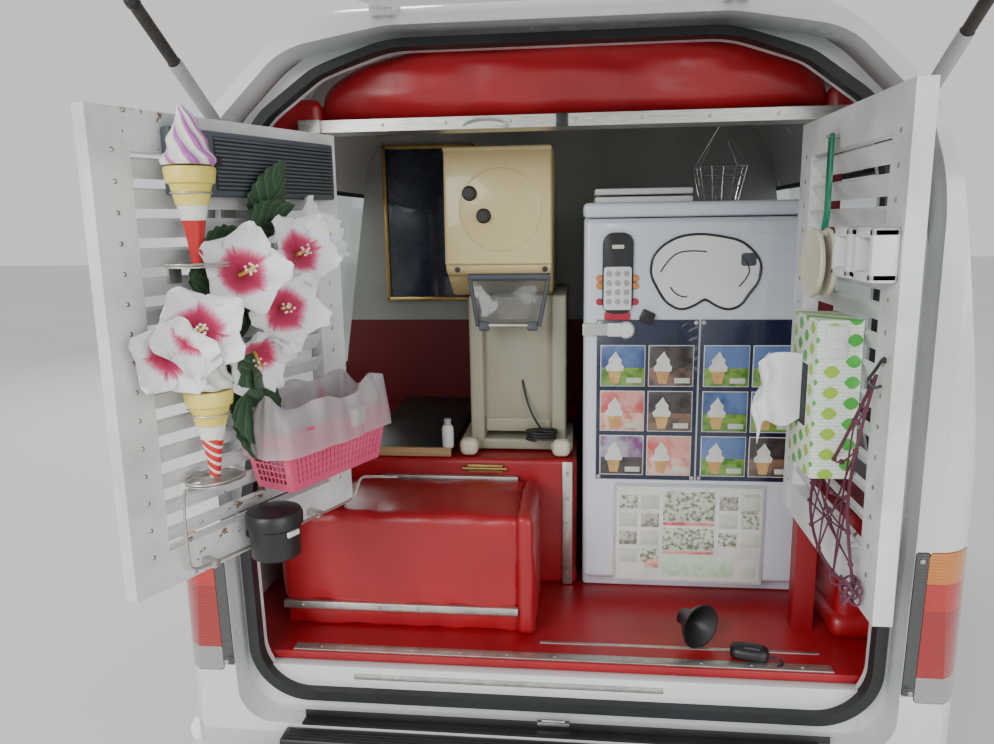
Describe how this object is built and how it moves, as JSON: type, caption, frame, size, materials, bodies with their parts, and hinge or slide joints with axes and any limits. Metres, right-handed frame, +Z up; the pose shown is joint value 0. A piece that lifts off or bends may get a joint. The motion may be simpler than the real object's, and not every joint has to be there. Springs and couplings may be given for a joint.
{
  "type": "kei soft-serve kiosk van",
  "caption": "High-roof kei van fitted as a soft-serve kiosk, its tailgate raised over louvred serving leaves, red padded counter, fridge and dispenser.",
  "frame": {"origin": "on the ground, centred between the mirrors and midway between the raised gate tip and the front bumper", "axes": "+X to the van's right, +Y forward, +Z up"},
  "size_m": [1.68, 4.3654, 2.0518],
  "materials": {
    "body_paint": "gloss, light road film",
    "bumper_paint": "satin",
    "dark_glass": "polished",
    "lamp_glass": "polished, ribbed",
    "lamp_red": "polished lens",
    "tyre_black": "matte",
    "rim_silver": "satin",
    "black_rubber": "matte",
    "black_steel": "satin",
    "rod_chrome": "polished",
    "cab_plastic": "grained",
    "wall_grey": "satin",
    "red_vinyl": "padded, semi-gloss",
    "bare_aluminium": "brushed, scuffed",
    "louvre_paint": "chipped white paint",
    "cream_enamel": "satin, yellowed",
    "fridge_white": "gloss",
    "seat_cloth": "woven",
    "engine_iron": "rough",
    "exhaust_steel": "dull",
    "pink_plastic": "satin",
    "display_plastic": "gloss",
    "petal_cloth": "woven, soft",
    "printed_card": "printed",
    "net_cord": "twisted"
  },
  "bodies": {
    "chassis": {"bench_box": "red_vinyl", "chassis_frame": "black_steel", "corner_box": "red_vinyl", "counter_block": "red_vinyl", "dashboard": "cab_plastic", "engine": "engine_iron", "exhaust": "exhaust_steel", "floor_lining": "red_vinyl", "floor_pan": "wall_grey", "fridge_cabinet": "fridge_white", "fridge_door": "fridge_white", "front_bumper": "bumper_paint", "front_seats": "seat_cloth", "front_suspension": "black_steel", "fuel_tank": "black_steel", "hatch_frame": "bare_aluminium", "head_valance": "red_vinyl", "headlamps": "lamp_glass", "nose_panel": "body_paint", "partition": "wall_grey", "rear_axle": "black_steel", "rear_bumper": "bumper_paint", "roof_panel": "body_paint", "side_panels": "body_paint", "side_windows": "dark_glass", "sliding_doors": "body_paint", "soft_serve_machine": "cream_enamel", "tail_frame": "body_paint", "tail_lamps": "lamp_red", "tail_panel": "body_paint", "tail_seal": "black_rubber", "windscreen": "dark_glass"},
    "tailgate": {"tailgate": "body_paint", "tailgate_glass": "dark_glass"},
    "leaf_left": {"louvre_leaf_left": "louvre_paint", "waste_basket": "pink_plastic", "cone_display": "display_plastic", "flower_bunch": "petal_cloth"},
    "leaf_right": {"louvre_leaf_right": "louvre_paint", "tissue_box": "printed_card", "cord_net": "net_cord"},
    "door_left": {"front_door_left": "body_paint", "door_glass_left": "dark_glass"},
    "door_right": {"front_door_right": "body_paint", "door_glass_right": "dark_glass"},
    "strut_left_cylinder": {"strut_cylinder_left": "black_steel"},
    "strut_right_cylinder": {"strut_cylinder_right": "black_steel"},
    "strut_left_rod": {"strut_rod_left": "rod_chrome"},
    "strut_right_rod": {"strut_rod_right": "rod_chrome"},
    "knuckle_body_left": {"knuckle_left": "black_steel"},
    "knuckle_body_right": {"knuckle_right": "black_steel"},
    "steering": {"steering_wheel": "cab_plastic"},
    "wheel_rear_left": {"tyre_rear_left": "tyre_black", "rim_rear_left": "rim_silver"},
    "wheel_rear_right": {"tyre_rear_right": "tyre_black", "rim_rear_right": "rim_silver"},
    "wheel_front_left": {"tyre_front_left": "tyre_black", "rim_front_left": "rim_silver"},
    "wheel_front_right": {"tyre_front_right": "tyre_black", "rim_front_right": "rim_silver"}
  },
  "joints": [
    {"name": "tailgate_hinge", "type": "hinge", "parent": "chassis", "child": "tailgate", "pos_m": [0, -0.89234, 1.875], "axis": [-1, 0, 0], "range_deg": [-88, 0]},
    {"name": "leaf_left_hinge", "type": "hinge", "parent": "chassis", "child": "leaf_left", "pos_m": [-0.432, -0.87234, 1.3125], "axis": [0, 0, -1], "range_deg": [-113.01, 0]},
    {"name": "leaf_right_hinge", "type": "hinge", "parent": "chassis", "child": "leaf_right", "pos_m": [0.465, -0.83934, 1.3125], "axis": [0, 0, 1], "range_deg": [-90.01, 0]},
    {"name": "steering_turn", "type": "hinge", "parent": "chassis", "child": "steering", "pos_m": [0.32, 1.63266, 1.045], "axis": [0, 0.766, -0.6428], "range_deg": [-540, 540]},
    {"name": "strut_left_foot", "type": "hinge", "parent": "chassis", "child": "strut_left_cylinder", "pos_m": [-0.556, -0.99134, 1.64], "axis": [-1, 0, 0], "range_deg": [-114.9, 0]},
    {"name": "strut_left_stroke", "type": "slide", "parent": "strut_left_cylinder", "child": "strut_left_rod", "axis": [0, -0.8625, 0.506], "range_m": [-0.236, 0]},
    {"name": "front_door_left_hinge", "type": "hinge", "parent": "chassis", "child": "door_left", "pos_m": [-0.657, 1.87816, 0.76], "axis": [0, 0, -1], "range_deg": [0, 65]},
    {"name": "kingpin_left", "type": "hinge", "parent": "chassis", "child": "knuckle_body_left", "pos_m": [-0.517, 1.41266, 0.271], "axis": [0, 0, 1], "range_deg": [-32.01, 32.01]},
    {"name": "front_left_wheel_spin", "type": "hinge", "parent": "knuckle_body_left", "child": "wheel_front_left", "pos_m": [-0.605, 1.41266, 0.271], "axis": [1, 0, 0], "continuous": true},
    {"name": "rear_left_wheel_spin", "type": "hinge", "parent": "chassis", "child": "wheel_rear_left", "pos_m": [-0.605, -0.44734, 0.271], "axis": [1, 0, 0], "continuous": true},
    {"name": "strut_right_foot", "type": "hinge", "parent": "chassis", "child": "strut_right_cylinder", "pos_m": [0.556, -0.99134, 1.64], "axis": [-1, 0, 0], "range_deg": [-114.9, 0]},
    {"name": "strut_right_stroke", "type": "slide", "parent": "strut_right_cylinder", "child": "strut_right_rod", "axis": [0, -0.8625, 0.506], "range_m": [-0.236, 0]},
    {"name": "front_door_right_hinge", "type": "hinge", "parent": "chassis", "child": "door_right", "pos_m": [0.657, 1.87816, 0.76], "axis": [0, 0, 1], "range_deg": [0, 65]},
    {"name": "kingpin_right", "type": "hinge", "parent": "chassis", "child": "knuckle_body_right", "pos_m": [0.517, 1.41266, 0.271], "axis": [0, 0, 1], "range_deg": [-32.01, 32.01]},
    {"name": "front_right_wheel_spin", "type": "hinge", "parent": "knuckle_body_right", "child": "wheel_front_right", "pos_m": [0.605, 1.41266, 0.271], "axis": [1, 0, 0], "continuous": true},
    {"name": "rear_right_wheel_spin", "type": "hinge", "parent": "chassis", "child": "wheel_rear_right", "pos_m": [0.605, -0.44734, 0.271], "axis": [1, 0, 0], "continuous": true}
  ],
  "couplings": [
    {"joint": "leaf_left_hinge", "follows": "tailgate_hinge", "ratio": 1.2841},
    {"joint": "leaf_right_hinge", "follows": "tailgate_hinge", "ratio": 1.0227},
    {"joint": "strut_left_foot", "follows": "tailgate_hinge", "ratio": 1.3005},
    {"joint": "strut_left_stroke", "follows": "tailgate_hinge", "m_per_rad": 0.15335},
    {"joint": "kingpin_left", "follows": "steering_turn", "ratio": -0.059259},
    {"joint": "strut_right_foot", "follows": "tailgate_hinge", "ratio": 1.3005},
    {"joint": "strut_right_stroke", "follows": "tailgate_hinge", "m_per_rad": 0.15335},
    {"joint": "kingpin_right", "follows": "steering_turn", "ratio": -0.059259}
  ]
}
